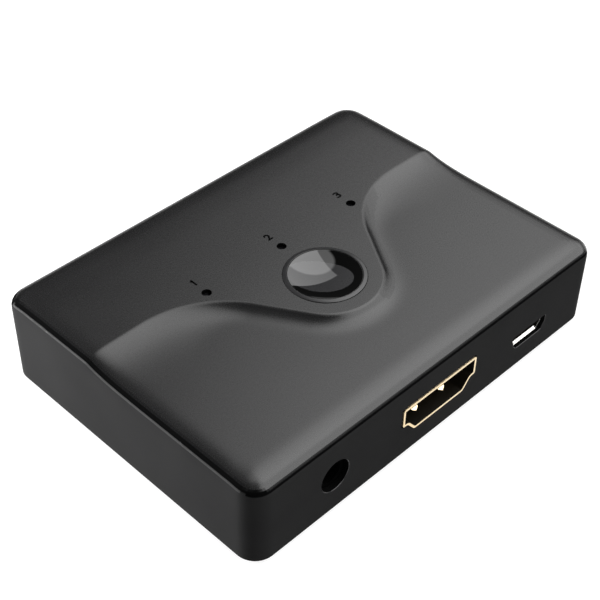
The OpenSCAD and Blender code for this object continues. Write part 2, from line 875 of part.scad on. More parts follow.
module switch_chip_pins() {
    color([0.8, 0.8, 0.78]) on_board(chip_at)
        for (turn = [0:90:270], i = [0:chip_pins - 1]) rotate([0, 0, turn])
            translate([chip_size[0] / 2, (i - (chip_pins - 1) / 2) * chip_pin_pitch, 0])
                gull_pin(chip_pin_w, chip_pin_l, chip_size[2] / 2 + chip_lift, chip_pin_t);
}

module memory_chips() {
    color([0.07, 0.07, 0.07]) for (i = [-1:1])
        translate([i * input_pitch, memory_y, z_top + chip_lift]) centred_box(memory_size);
}

module memory_chip_pins() {
    color([0.8, 0.8, 0.78]) for (i = [-1:1], turn = [0, 180], k = [0:memory_pins - 1])
        translate([i * input_pitch, memory_y, z_top]) rotate([0, 0, turn])
            translate([memory_size[0] / 2, (k - (memory_pins - 1) / 2) * memory_pin_pitch, 0])
                gull_pin(chip_pin_w, chip_pin_l, memory_size[2] / 2 + chip_lift, chip_pin_t);
}

module regulator() {
    color([0.07, 0.07, 0.07]) on_board(regulator_at) centred_box(regulator_size);
}

module regulator_pins() {
    color([0.8, 0.8, 0.78]) on_board(regulator_at) {
        translate([0, (regulator_size[1] + regulator_tab[1]) / 2, 0]) centred_box(regulator_tab);
        for (i = [-1:1])
            translate([i * regulator_pin_pitch, -(regulator_size[1] + regulator_tab[1]) / 2, 0])
                centred_box([regulator_pin_w, regulator_tab[1], regulator_tab[2]]);
    }
}

module filter_capacitor() {
    color([0.75, 0.76, 0.78]) on_board(can_at)
        translate([0, 0, can_base[2]]) cylinder(r = can_r, h = can_h);
}

module filter_capacitor_base() {
    color([0.08, 0.08, 0.08]) on_board(can_at) centred_box(can_base);
}

module crystal() {
    color([0.78, 0.78, 0.76]) on_board(crystal_at) centred_box(crystal_size);
}

module chip_capacitors() {
    color([0.68, 0.55, 0.4]) for (row = [0:len(cap_x) - 1], k = [0:cap_count[row] - 1])
        on_board([
            cap_x[row] + k * cap_way[row][0] * cap_step[0],
            cap_y[row] + k * cap_way[row][1] * cap_step[1]
        ])
            centred_box(chip_cap_size);
}

top_cover();
base_plate();
case_screws();
rubber_feet();
main_board();
at_output() video_shell();  // output_shell
at_output() video_insulator();  // output_insulator
at_output() video_contacts();  // output_contacts
at_input(1) video_shell();  // input_1_shell
at_input(1) video_insulator();  // input_1_insulator
at_input(1) video_contacts();  // input_1_contacts
at_input(2) video_shell();  // input_2_shell
at_input(2) video_insulator();  // input_2_insulator
at_input(2) video_contacts();  // input_2_contacts
at_input(3) video_shell();  // input_3_shell
at_input(3) video_insulator();  // input_3_insulator
at_input(3) video_contacts();  // input_3_contacts
remote_jack_body();
remote_jack_contacts();
power_shell();
power_insulator();
power_contacts();
button_cap();
button_dish();
switch_base();
switch_frame();
switch_plunger();
switch_dome();
switch_legs();
light_guide();
port_lamps();
switch_chip();
switch_chip_pins();
memory_chips();
memory_chip_pins();
regulator();
regulator_pins();
filter_capacitor();
filter_capacitor_base();
crystal();
chip_capacitors();
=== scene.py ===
import bpy
import bmesh
import json
from math import acos, asin, atan2, cos, degrees, hypot, pi, radians, sin, sqrt
from mathutils import Matrix, Vector


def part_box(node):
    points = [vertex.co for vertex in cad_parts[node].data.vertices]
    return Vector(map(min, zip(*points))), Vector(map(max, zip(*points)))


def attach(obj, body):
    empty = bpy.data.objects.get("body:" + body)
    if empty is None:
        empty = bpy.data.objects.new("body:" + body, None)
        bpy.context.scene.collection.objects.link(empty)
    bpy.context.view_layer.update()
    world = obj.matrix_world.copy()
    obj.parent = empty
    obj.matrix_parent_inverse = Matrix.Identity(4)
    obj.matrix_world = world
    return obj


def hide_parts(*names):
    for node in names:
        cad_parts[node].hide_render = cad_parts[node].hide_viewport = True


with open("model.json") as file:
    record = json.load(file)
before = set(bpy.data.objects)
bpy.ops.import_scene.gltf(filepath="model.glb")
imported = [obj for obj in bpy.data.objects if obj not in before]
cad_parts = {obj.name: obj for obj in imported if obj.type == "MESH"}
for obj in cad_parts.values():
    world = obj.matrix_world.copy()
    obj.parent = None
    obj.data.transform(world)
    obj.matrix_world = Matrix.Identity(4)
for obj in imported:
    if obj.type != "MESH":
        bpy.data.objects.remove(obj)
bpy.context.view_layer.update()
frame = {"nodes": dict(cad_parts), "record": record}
mm = 0.001
nodes = frame["nodes"]
print("frame loaded:", len(nodes), "nodes")


# a node's lowest and highest corners in mm, and the middle of them
def nodeBox(name):
    return [[round(v / mm, 4) for v in corner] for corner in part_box(name)]


def nodeMiddle(name):
    return [round((low + high) / 2, 4) for low, high in zip(*nodeBox(name))]


# camera: the photograph's viewing angle
cameraView = {
    "azimuth": -45.63,      # degrees, from the front towards the left
    "elevation": 41.80,     # degrees above the floor
    "roll": 0.94,           # degrees
    "aside": -0.97,         # mm, along the picture's width
    "upward": 5.58,         # mm, along the picture's height
    "distance": 199.92,     # mm
    "aimHeight": 0.8,       # mm, of the point looked at above the floor
    "lens": 79.9,           # mm
    "sensor": 36,           # mm
    "clip": (0.01, 20),     # m, nearest and farthest
}


def addCamera(v):
    a, e, r = radians(v["azimuth"]), radians(v["elevation"]), radians(v["roll"])
    back = Vector((sin(a) * cos(e), -cos(a) * cos(e), sin(e)))
    level = Vector((cos(a), sin(a), 0))
    raised = back.cross(level)
    right = cos(r) * level + sin(r) * raised
    up = cos(r) * raised - sin(r) * level
    data = bpy.data.cameras.new("camera")
    data.lens, data.sensor_width = v["lens"], v["sensor"]
    data.clip_start, data.clip_end = v["clip"]
    camera = bpy.data.objects.new("camera", data)
    bpy.context.scene.collection.objects.link(camera)
    place = back * v["distance"] + right * v["aside"] + up * v["upward"]
    place.z += v["aimHeight"]
    turn = Matrix((right, up, back)).transposed().to_4x4()
    camera.matrix_world = Matrix.Translation(place * mm) @ turn
    bpy.context.scene.camera = camera


addCamera(cameraView)
bpy.context.scene.view_settings.view_transform = "Standard"
print("camera set")


# helpers for meshes
def toObject(name, bm, *materials):
    mesh = bpy.data.meshes.new(name)
    bm.to_mesh(mesh)
    bm.free()
    for material in materials:
        mesh.materials.append(material)
    obj = bpy.data.objects.new(name, mesh)
    bpy.context.scene.collection.objects.link(obj)
    return obj


def shadeSmooth(obj, sharpFrom):
    for polygon in obj.data.polygons:
        polygon.use_smooth = True
    obj.data.set_sharp_from_angle(angle=radians(sharpFrom))


def bevelEdges(bm, edges, width, segments):
    bmesh.ops.bevel(bm, geom=list(edges), offset=width, offset_type="OFFSET", affect="EDGES",
                    segments=segments, profile=0.5, material=-1, clamp_overlap=True)


def dropObject(obj):
    mesh = obj.data
    bpy.data.objects.remove(obj)
    bpy.data.meshes.remove(mesh)


def carve(target, tool):
    modifier = target.modifiers.new("carve", "BOOLEAN")
    modifier.object = tool
    modifier.operation = "DIFFERENCE"
    modifier.solver = "EXACT"
    modifier.material_mode = "TRANSFER"
    depsgraph = bpy.context.evaluated_depsgraph_get()
    carved = bpy.data.meshes.new_from_object(target.evaluated_get(depsgraph))
    target.modifiers.clear()
    old = target.data
    carved.name = old.name + "Carved"
    target.data = carved
    bpy.data.meshes.remove(old)
    dropObject(tool)


# adds another bmesh, which is used up
def addMesh(bm, part):
    mesh = bpy.data.meshes.new("part")
    part.to_mesh(mesh)
    part.free()
    bm.from_mesh(mesh)
    bpy.data.meshes.remove(mesh)


def vertsOf(geom):
    return [g for g in geom if isinstance(g, bmesh.types.BMVert)]


def shift(x, y, z):
    return Matrix.Translation(Vector((x, y, z)) * mm)


# helpers for materials
def startMaterial(name):
    material = bpy.data.materials.new(name)
    material.use_nodes = True
    tree = material.node_tree
    return material, tree, tree.nodes["Principled BSDF"]


def addNode(tree, kind, **settings):
    node = tree.nodes.new(kind)
    for key, value in settings.items():
        setattr(node, key, value)
    return node


def objectNoise(tree, scale, detail, stretch=(1, 1, 1)):
    place = addNode(tree, "ShaderNodeTexCoord")
    mapping = addNode(tree, "ShaderNodeMapping")
    mapping.inputs["Scale"].default_value = stretch
    noise = addNode(tree, "ShaderNodeTexNoise")
    noise.inputs["Scale"].default_value = scale
    noise.inputs["Detail"].default_value = detail
    tree.links.new(place.outputs["Object"], mapping.inputs["Vector"])
    tree.links.new(mapping.outputs["Vector"], noise.inputs["Vector"])
    return noise.outputs["Fac"]


def mixColours(tree, factor, low, high):
    mix = addNode(tree, "ShaderNodeMix", data_type="RGBA")
    for socket, value in ((mix.inputs[6], low), (mix.inputs[7], high)):     # its two colours
        if hasattr(value, "links"):
            tree.links.new(value, socket)
        else:
            socket.default_value = (*value, 1)
    tree.links.new(factor, mix.inputs[0])
    return mix.outputs[2]


def mapRange(tree, value, fromLow, fromHigh, toLow, toHigh):
    ramp = addNode(tree, "ShaderNodeMapRange")
    ends = {"From Min": fromLow, "From Max": fromHigh, "To Min": toLow, "To Max": toHigh}
    for key, number in ends.items():
        ramp.inputs[key].default_value = number
    tree.links.new(value, ramp.inputs["Value"])
    return ramp.outputs["Result"]


def addMath(tree, operation, a, b):
    node = addNode(tree, "ShaderNodeMath", operation=operation)
    tree.links.new(a, node.inputs[0])
    tree.links.new(b, node.inputs[1])
    return node.outputs["Value"]


def addBump(tree, shader, height, strength, distance):
    bump = addNode(tree, "ShaderNodeBump")
    bump.inputs["Strength"].default_value = strength
    bump.inputs["Distance"].default_value = distance * mm
    tree.links.new(height, bump.inputs["Height"])
    tree.links.new(bump.outputs["Normal"], shader.inputs["Normal"])


# what a finish has unless it says otherwise
plain = {"patch": 90, "stretch": (1, 1, 1), "metal": 0, "specular": 0.5, "relief": 0, "strength": 0.3}
noiseSpan = (0.3, 0.7)      # where most of the noise lies


# one finish: two close colours, a range of roughness and a fine relief, all on the piece's own coordinates
def makeFinish(name, choices):
    look = {**plain, **choices}
    material, tree, shader = startMaterial(name)
    broad = objectNoise(tree, look["patch"], detail=4)
    fine = objectNoise(tree, look["grain"], detail=2, stretch=look["stretch"])
    colour = mixColours(tree, mapRange(tree, broad, *noiseSpan, 0, 1), look["low"], look["high"])
    tree.links.new(colour, shader.inputs["Base Color"])
    tree.links.new(mapRange(tree, fine, *noiseSpan, *look["rough"]), shader.inputs["Roughness"])
    shader.inputs["Metallic"].default_value = look["metal"]
    shader.inputs["Specular IOR Level"].default_value = look["specular"]
    if look["relief"]:
        addBump(tree, shader, fine, look["strength"], look["relief"])
    return material


# grain is the noise's scale, rough runs from low to high, and relief is in mm
finishes = {
    "roofSatin": {"low": (0.009, 0.009, 0.0092), "high": (0.011, 0.011, 0.0112), "grain": 5200,
                  "rough": (0.255, 0.285)},
    "wallSatin": {"low": (0.018, 0.018, 0.0182), "high": (0.0215, 0.0215, 0.0217), "grain": 5200,
                  "rough": (0.52, 0.58), "specular": 0.005, "relief": 0.003, "strength": 0.2},
    # inner faces of the cut-outs and the hollow: the case's plastic darkened as painted shade
    "insidePaintedShade": {"low": (0.0015, 0.0015, 0.0015), "high": (0.0025, 0.0025, 0.0025), "grain": 4000,
                    "rough": (0.6, 0.7), "specular": 0.04},
    "buttonSatin": {"low": (0.012, 0.012, 0.0125), "high": (0.016, 0.016, 0.0165), "grain": 5200,
                    "rough": (0.28, 0.33)},
    "baseSatin": {"low": (0.022, 0.022, 0.023), "high": (0.030, 0.030, 0.031), "grain": 2600,
                  "rough": (0.55, 0.68), "specular": 0.3, "relief": 0.01, "strength": 0.35},
    "footRubber": {"low": (0.012, 0.012, 0.012), "high": (0.022, 0.022, 0.022), "grain": 3200,
                   "rough": (0.75, 0.9), "specular": 0.2, "relief": 0.02, "strength": 0.4},
    "socketGold": {"low": (0.90, 0.70, 0.42), "high": (0.94, 0.78, 0.52), "grain": 2400,
                   "rough": (0.24, 0.34), "metal": 1, "stretch": (1, 0.08, 1),
                   "relief": 0.002, "strength": 0.2},
    # dark lining for the shells' inner faces: painted shade over their bare metal
    "socketPaintedShade": {"low": (0.003, 0.0023, 0.0011), "high": (0.006, 0.0045, 0.0022), "grain": 1800,
                   "rough": (0.4, 0.55), "specular": 0.12},
    "contactGold": {"low": (0.75, 0.52, 0.22), "high": (0.86, 0.64, 0.30), "grain": 3000,
                    "rough": (0.22, 0.34), "metal": 1},
    "socketBlack": {"low": (0.006, 0.006, 0.006), "high": (0.011, 0.011, 0.011), "grain": 3600,
                    "rough": (0.42, 0.55), "specular": 0.25, "relief": 0.004, "strength": 0.2},
    "nickel": {"low": (0.62, 0.61, 0.58), "high": (0.74, 0.73, 0.70), "grain": 2200,
               "rough": (0.26, 0.38), "metal": 1, "stretch": (1, 0.1, 1)},
    "tinned": {"low": (0.58, 0.58, 0.57), "high": (0.72, 0.72, 0.70), "grain": 2600,
               "rough": (0.32, 0.5), "metal": 1},
    "screwSteel": {"low": (0.36, 0.36, 0.37), "high": (0.52, 0.52, 0.53), "grain": 2600,
                   "rough": (0.3, 0.48), "metal": 1},
    "chipBlack": {"low": (0.015, 0.015, 0.015), "high": (0.026, 0.026, 0.026), "grain": 3800,
                  "rough": (0.6, 0.72), "specular": 0.3, "relief": 0.006, "strength": 0.3},
    "smokedGuide": {"low": (0.006, 0.006, 0.007), "high": (0.010, 0.010, 0.011), "grain": 1500,
                    "rough": (0.12, 0.2)},
    "lampWhite": {"low": (0.78, 0.74, 0.60), "high": (0.86, 0.83, 0.72), "grain": 2600,
                  "rough": (0.3, 0.4)},
    "canAluminium": {"low": (0.66, 0.67, 0.69), "high": (0.78, 0.79, 0.80), "grain": 2600,
                     "rough": (0.28, 0.42), "metal": 1, "stretch": (1, 1, 0.08)},
    "capacitorTan": {"low": (0.44, 0.32, 0.19), "high": (0.56, 0.43, 0.28), "grain": 3000,
                     "rough": (0.45, 0.6)},
    "boardGreen": {"low": (0.010, 0.13, 0.045), "high": (0.018, 0.19, 0.07), "grain": 2200, "patch": 260,
                   "rough": (0.3, 0.42), "relief": 0.01, "strength": 0.3},
    # remote jack: black plastic darkened further, and its metal contacts blackened, as painted shade
    "jackBlackPaintedShade": {"low": (0.0008, 0.0008, 0.0008), "high": (0.0014, 0.0014, 0.0014), "grain": 3600,
                  "rough": (0.7, 0.8), "specular": 0.01},
    "printBlack": {"low": (0.0008, 0.0008, 0.0008), "high": (0.0014, 0.0014, 0.0014), "grain": 4000,
                   "rough": (0.75, 0.85), "specular": 0.02},
}
# painted shade on the rolled edge, by steps: gloss and depth of colour as shares of the roof's, darker and
# duller towards the wall
edgeShadeSteps = [
    (0.84, 1), (0.68, 0.95), (0.52, 0.85), (0.36, 0.72),
    (0.22, 0.58), (0.12, 0.45), (0.04, 0.34), (0, 0.26),
]
# painted highlight on the left rim only: shares of the wall's lighter colour and of the roof's gloss
rimHighlightShares = {"rimSoftPaintedHighlight": 0.4, "rimPaintedHighlight": 1}
rimRough = (0.38, 0.42)


# the roof's finish with less gloss, and with a finish's colours scaled by a share: shaded and lit copies,
# for painted shade and painted highlight
def roofLike(source, depth, gloss):
    shades = {end: tuple(c * depth for c in finishes[source][end]) for end in ("low", "high")}
    return {**finishes["roofSatin"], **shades, "specular": plain["specular"] * gloss}


# darker, duller copies of the roof's finish: painted shade for the rolled edge
for step, (gloss, depth) in enumerate(edgeShadeSteps):
    finishes["edgeSatin%d" % (step + 1)] = roofLike("roofSatin", depth, gloss)
# the left rim's painted highlight: the wall's lighter colour with the roof's gloss
for name, share in rimHighlightShares.items():
    finishes[name] = {**roofLike("wallSatin", share, share), "rough": rimRough}
made = {name: makeFinish(name, look) for name, look in finishes.items()}
print("finishes made:", len(made))


# every node of the frame takes its finish by the record's slot
slotFinish = {
    "case_black": "baseSatin", "dish_black": "smokedGuide", "socket_gold": "socketGold",
    "contact_gold": "contactGold", "socket_black": "socketBlack", "nickel": "nickel", "tinned": "tinned",
    "screw_steel": "screwSteel", "foot_rubber": "footRubber", "board_green": "boardGreen",
    "chip_black": "chipBlack", "smoked_guide": "smokedGuide", "lamp_white": "lampWhite",
    "can_aluminium": "canAluminium", "capacitor_tan": "capacitorTan",
}
# the remote jack's body and contacts take painted shade
nodeFinish = {"remote_jack_body": "jackBlackPaintedShade", "remote_jack_contacts": "jackBlackPaintedShade"}
for part in frame["record"]["subparts"]:
    obj = nodes[part["node"]]
    finished = made[nodeFinish.get(part["node"]) or slotFinish[part["material_slot"]]]
    for slot in obj.material_slots:
        slot.material = finished
print("nodes finished")


# top cover: roof with a plateau, its tongue and the apron, rolled edges, walls and cut-outs
coverLow, coverHigh = nodeBox("top_cover")
halfW, halfD = coverHigh[:2]
cover = {
    "cornerRadius": 3.2, "wall": 1.8, "innerRadius": 1.4,                       # mm
    "floor": coverLow[2], "wallBreak": 11.4, "ceiling": 12.85, "plateau": coverHigh[2],
    "edgeRun": 4.4, "edgeFall": 2.2, "edgePower": 2.7, "leftPower": 1.1,        # rolled edge
    "crownRun": 9, "crownFall": 0.2,                                            # fall to the right and back
    "stepDrop": 0.85, "stepY": 7.1, "sweepRadius": 16.5, "tongueRadius": 8.1,   # plateau
    "tongueAngle": 58,                                                          # degrees
    "slopeTongue": 5, "slopeSide": 13, "crestRound": 0.6, "slopeFade": 3,       # slope below the crest
    "buttonY": nodeMiddle("button_cap")[1], "buttonHole": 6.12, "jackHole": 2.55,
    "lampX": 14.6, "lampY": nodeMiddle("light_guide")[1], "lampHole": 0.74,
    "cutAhead": 1, "cutDeep": 4, "flare": 0.06,                                 # cut-outs
    "columns": 150, "apronRows": 22, "apronLeast": 0.2, "slopeRows": 30, "slopeCrowd": 1.8,     # mesh
    "plateauRows": 36, "edgeRows": 12, "buttonSides": 160, "lampSides": 40, "sharpFrom": 30,
}
# the tongue's straight flank, and the sweep that leads it into the step
flankSin, flankCos = sin(radians(cover["tongueAngle"])), cos(radians(cover["tongueAngle"]))
flankX = cover["tongueRadius"] * flankSin
flankY = cover["buttonY"] - cover["tongueRadius"] * flankCos
flankL = (cover["stepY"] - cover["sweepRadius"] * (1 - flankCos) - flankY) / flankSin
sweepStart = flankX + flankL * flankCos
sweepX = sweepStart + cover["sweepRadius"] * flankSin
sweepY = cover["stepY"] - cover["sweepRadius"]


def clamp(value):
    return max(0, min(1, value))


# how far a point lies in from the case's outline
def insideCase(x, y):
    r = cover["cornerRadius"]
    qx, qy = abs(x) - (halfW - r), abs(y) - (halfD - r)
    return r - hypot(max(qx, 0), max(qy, 0)) - min(max(qx, qy), 0)


# how far a point lies along the tongue's flank
def alongFlank(x, y):
    return (abs(x) - flankX) * flankCos + (y - flankY) * flankSin


# how far a point lies down the slope from the plateau's crest
def pastCrest(x, y):
    ax, along = abs(x), alongFlank(x, y)
    if along < 0:
        return hypot(ax, y - cover["buttonY"]) - cover["tongueRadius"]
    if along < flankL:
        return (ax - flankX) * flankSin - (y - flankY) * flankCos
    if ax < sweepX:
        return cover["sweepRadius"] - hypot(ax - sweepX, y - sweepY)
    return cover["stepY"] - y


# the slope is short round the tongue and long at the sides
def slopeWidth(x, y):
    ax = abs(x)
    if alongFlank(x, y) < flankL:
        share = 0
    elif ax >= sweepX:
        share = 1
    else:
        share = clamp(1 - degrees(atan2(sweepX - ax, y - sweepY)) / cover["tongueAngle"])
    wider = (cover["slopeSide"] - cover["slopeTongue"]) * share * share * (3 - 2 * share)
    return cover["slopeTongue"] + wider


# plateau, less the slope, the rolled edge and the crown
def roofHeight(x, y):
    width = slopeWidth(x, y)
    t, share = clamp(pastCrest(x, y) / width), cover["crestRound"] / width
    rounded, faded = share / 2, (1 - share) / (cover["slopeFade"] + 1)
    if t < share:
        fall = t * t / (2 * share)
    else:
        fall = rounded + faded * (1 - ((1 - t) / (1 - share)) ** (cover["slopeFade"] + 1))
    fall /= rounded + faded
    edge = clamp(1 - insideCase(x, y) / cover["edgeRun"])
    left = clamp((halfD - abs(y) - halfW - x) / cover["edgeRun"])
    power = cover["edgePower"] + cover["leftPower"] * left
    roll = cover["edgeFall"] * (1 - (1 - edge ** power) ** (1 / power))
    side, back = clamp(1 - (halfW - x) / cover["crownRun"]), clamp(1 - (halfD - y) / cover["crownRun"])
    crown = cover["crownFall"] * (side * side + back * back)
    return cover["plateau"] - cover["stepDrop"] * fall - roll - crown


# the crest across the case: tongue, flank, sweep and straight end
def crestY(x):
    ax = abs(x)
    if ax < flankX:
        return cover["buttonY"] - sqrt(cover["tongueRadius"] ** 2 - ax * ax)
    if ax < sweepStart:
        return flankY + (ax - flankX) * flankSin / flankCos
    if ax < sweepX:
        return sweepY + sqrt(cover["sweepRadius"] ** 2 - (ax - sweepX) ** 2)
    return cover["stepY"]


def crestSlant(x):
    ax = abs(x)
    if ax < flankX:
        return asin(ax / cover["tongueRadius"])
    if ax < sweepStart:
        return radians(cover["tongueAngle"])
    if ax < sweepX:
        return asin((sweepX - ax) / cover["sweepRadius"])
    return 0


def between(low, high, count):
    return [low + (high - low) * (i + 1) / (count + 1) for i in range(count)]


# grid lines over the rolled edge, closer towards the rim
def edgeLines(half):
    count = cover["edgeRows"]
    return [-half + cover["edgeRun"] * (i / count) ** 2 for i in range(count + 1)]


def roofColumns():
    left, half = edgeLines(halfW), halfW - cover["edgeRun"]
    return left + between(-half, half, cover["columns"]) + [-x for x in reversed(left)]


def roofRows(x):
    front, half, y = edgeLines(halfD), halfD - cover["edgeRun"], crestY(x)
    low = max(y - slopeWidth(x, y) / cos(crestSlant(x)), cover["apronLeast"] - half)
    count = cover["slopeRows"]
    slope = [y + (low - y) * (i / count) ** cover["slopeCrowd"] for i in range(count, 0, -1)]
    back = [-v for v in reversed(front)]
    apron = between(-half, low, cover["apronRows"])
    plateau = between(y, half, cover["plateauRows"])
    return front + apron + slope + [y] + plateau + back


# bends the grid's square corners round
def toCorner(x, y):
    r = cover["cornerRadius"]
    a, b = (abs(x) - halfW + r) / r, (abs(y) - halfD + r) / r
    if a <= 0 or b <= 0:
        return x, y
    turn = pi / 4 * b / a if a > b else pi / 2 - pi / 4 * a / b
    cx = halfW - r + r * max(a, b) * cos(turn)
    cy = halfD - r + r * max(a, b) * sin(turn)
    return (cx if x > 0 else -cx), (cy if y > 0 else -cy)


# the cover's material slots: roof, wall, inside with painted shade, the painted shade steps of the rolled
# edge, and the left rim's two painted highlights
roofSlot, wallSlot, stepSlot = 0, 1, 3
# where the rolled edge's painted shade and the left rim's painted highlight change, by the tilt of its
# faces in degrees and by the level way they look: a turn is below 0 to the left and front
edgeShade = {
    "flat": 0.1, "wallFrom": 62,
    "rimFrom": 46, "rimTurn": -0.9, "rimFull": 52, "rimFullTurn": -0.97,            # left rim's painted highlight
    "start": 9.5, "startTurn": 8, "pace": 2.2, "paceLeft": 0.6,                     # first tilt, pace
    "share": 1.6, "shareTurn": 2.4,                                                 # no loss at the front
    "fringeFrom": 38, "fringeSteps": 2, "fringeShare": 0.5, "fringeTurn": 2,        # less at back, right
    "slopeStart": 12, "slopePace": 4, "slopeShare": -0.6, "slopeTurn": 2,           # painted shade on the plateau's slope
    "darkTurn": -0.2, "darkFrom": 41, "darkPace": 1.7,                              # painted dark band at the front and left
    "darkCorner": 14, "cornerShare": -3, "cornerTurn": 4,
}


# steep faces take painted shade, darker and duller by steps on the way to the wall, and the left rim takes
# a painted highlight
def edgeIndex(face):
    e, last = edgeShade, len(edgeShadeSteps)
    n, centre = face.normal, face.calc_center_median() / mm
    tilt = degrees(acos(min(abs(n.z), 1)))
    x, y = Vector((n.x, n.y)).normalized() if tilt > e["flat"] else (0, 0)
    away = (x + y) / sqrt(2)
    if tilt > e["wallFrom"]:
        return wallSlot
    if tilt > e["rimFrom"] and x < e["rimTurn"]:
        return stepSlot + last + (tilt > e["rimFull"] and x < e["rimFullTurn"])
    if insideCase(centre.x, centre.y) < cover["edgeRun"]:
        start, pace = e["start"] - e["startTurn"] * away, e["pace"] - e["paceLeft"] * max(-x, 0)
        share = clamp(e["share"] + e["shareTurn"] * y)
        if tilt < e["fringeFrom"]:
            last = round(last - e["fringeSteps"] * clamp(e["fringeShare"] + e["fringeTurn"] * away))
    else:
        start, pace = e["slopeStart"], e["slopePace"]
        share = clamp(e["slopeShare"] + e["slopeTurn"] * x)
    step = int(share * (tilt - start) / pace + 1)
    if away < e["darkTurn"]:
        dark = e["darkFrom"] - e["darkCorner"] * clamp(e["cornerShare"] - e["cornerTurn"] * away)
        step = max(step, int((tilt - dark) / e["darkPace"] + 1))
    if step < 1 or not (share or step > 1):
        return roofSlot
    return stepSlot - 1 + min(step, last)


def caseBlock():
    columns = roofColumns()
    rows = [roofRows(x) for x in columns]
    across, along = len(columns) - 1, len(rows[0]) - 1
    bm = bmesh.new()
    bmesh.ops.create_grid(bm, x_segments=across, y_segments=along, size=1)
    for vert in bm.verts:
        i, j = round((vert.co.x + 1) / 2 * across), round((vert.co.y + 1) / 2 * along)
        x, y = toCorner(columns[i], rows[i][j])
        vert.co = Vector((x, y, roofHeight(x, y))) * mm
    rim = [e for e in bm.edges if e.is_boundary]
    for face in bm.faces:
        face.normal_update()
        # painted shade and the left rim's painted highlight, face by face
        face.material_index = edgeIndex(face)
    for level in (cover["wallBreak"], cover["floor"]):
        grown = bmesh.ops.extrude_edge_only(bm, edges=rim)["geom"]
        for vert in vertsOf(grown):
            vert.co.z = level * mm
        rim = [g for g in grown if isinstance(g, bmesh.types.BMEdge)]
        for face in {f for e in rim for f in e.link_faces}:
            face.material_index = wallSlot
    bmesh.ops.edgeloop_fill(bm, edges=rim, mat_nr=wallSlot)
    bmesh.ops.recalc_face_normals(bm, faces=bm.faces)
    return bm


def roundedBlock(low, high, radius):
    bm = bmesh.new()
    bmesh.ops.create_cube(bm, size=1)
    size = [b - a for a, b in zip(low, high)]
    middle = [(a + b) / 2 for a, b in zip(low, high)]
    bmesh.ops.scale(bm, verts=bm.verts, vec=[s * mm for s in size])
    upright = [e for e in bm.edges if abs(e.verts[0].co.z - e.verts[1].co.z) > size[2] * mm / 2]
    bevelEdges(bm, upright, radius * mm, segments=8)
    bmesh.ops.translate(bm, verts=bm.verts, vec=[c * mm for c in middle])
    return bm


# a round bar along an axis, from a point
def addRod(bm, start, axis, radius, length, segments=64, endRadius=None):
    turn = Vector((0, 0, 1)).rotation_difference(Vector(axis)).to_matrix().to_4x4()
    middle = (Vector(start) + Vector(axis) * length / 2) * mm
    bmesh.ops.create_cone(bm, cap_ends=True, segments=segments, radius1=radius * mm,
                          radius2=(radius if endRadius is None else endRadius) * mm,
                          depth=length * mm, matrix=Matrix.Translation(middle) @ turn)


# socket outlines: a wide top, upright sides, a shoulder and a narrow floor
videoSocket = {
    "width": 15.1, "height": 5.1, "side": 3.25, "shoulder": 0.95, "floor": 10.2, "length": 11,
    "sheet": 0.35, "corner": 0.35, "bevel": 0.08, "gap": 0.15,
    "fingerX": 2.8, "fingerWidth": 1.45, "fingerLength": 4.6, "fingerThick": 0.14,      # spring fingers
    "fingerStart": 1.7, "fingerNose": 0.65, "fingerRise": 0.7, "fingerTip": 0.3, "fingerPoint": 0.04,
    "fingerRows": 18, "fingerColumns": 8,
}
powerSocket = {
    "width": 7.5, "height": 2.35, "side": 1.15, "shoulder": 0, "floor": 5.7, "length": 5,
    "sheet": 0.35, "corner": 0.3, "bevel": 0.02, "chamfer": 0.32, "gap": 0.06,
}


def outlineFace(bm, socket, grow):
    lower = socket["height"] - socket["side"]
    lean = (socket["width"] / 2 - socket["shoulder"] - socket["floor"] / 2) / lower
    slant = grow * sqrt(1 + lean * lean)
    top, waist = socket["height"] + grow, lower - grow
    half = [
        (socket["width"] / 2 + grow, top),
        (socket["width"] / 2 + grow, waist),
        (socket["floor"] / 2 + waist * lean + slant, waist),
        (socket["floor"] / 2 - grow * lean + slant, -grow),
    ]
    if not socket["shoulder"]:
        half.pop(2)
    points = half + [(-x, z) for x, z in reversed(half)]
    return bm.faces.new([bm.verts.new(Vector((x, 0, z)) * mm) for x, z in points])


def pushBack(bm, faces, length):
    grown = bmesh.ops.extrude_face_region(bm, geom=faces)["geom"]
    bmesh.ops.translate(bm, verts=vertsOf(grown), vec=(0, length * mm, 0))


def roundCorners(bm, radius):
    bmesh.ops.bevel(bm, geom=list(bm.verts), offset=radius * mm, offset_type="OFFSET", affect="VERTICES",
                    segments=5, profile=0.5, material=-1, clamp_overlap=True)


# the four places of the video sockets, each with its mouth at y = 0 and its back along +Y
def videoPlaces():
    places = {}
    for name in ("output", "input_1", "input_2", "input_3"):
        low, high = nodeBox(name + "_shell")
        x, y = nodeMiddle(name + "_shell")[:2]
        floor = high[2] - videoSocket["height"]
        if y < 0:
            places[name] = shift(x, low[1], floor)
        else:
            places[name] = shift(x, high[1], floor) @ Matrix.Rotation(pi, 4, "Z")
    return places


powerLow = nodeBox("power_shell")[0]
powerPlace = shift(nodeMiddle("power_shell")[0], powerLow[1], powerLow[2])


def cutOut(socket, place, start, length):
    bm = bmesh.new()
    outlineFace(bm, socket, socket["gap"])
    roundCorners(bm, socket["corner"])
    bmesh.ops.translate(bm, verts=bm.verts, vec=(0, start * mm, 0))
    pushBack(bm, list(bm.faces), length)
    bmesh.ops.recalc_face_normals(bm, faces=bm.faces)
    bmesh.ops.transform(bm, matrix=place, verts=bm.verts)
    return bm


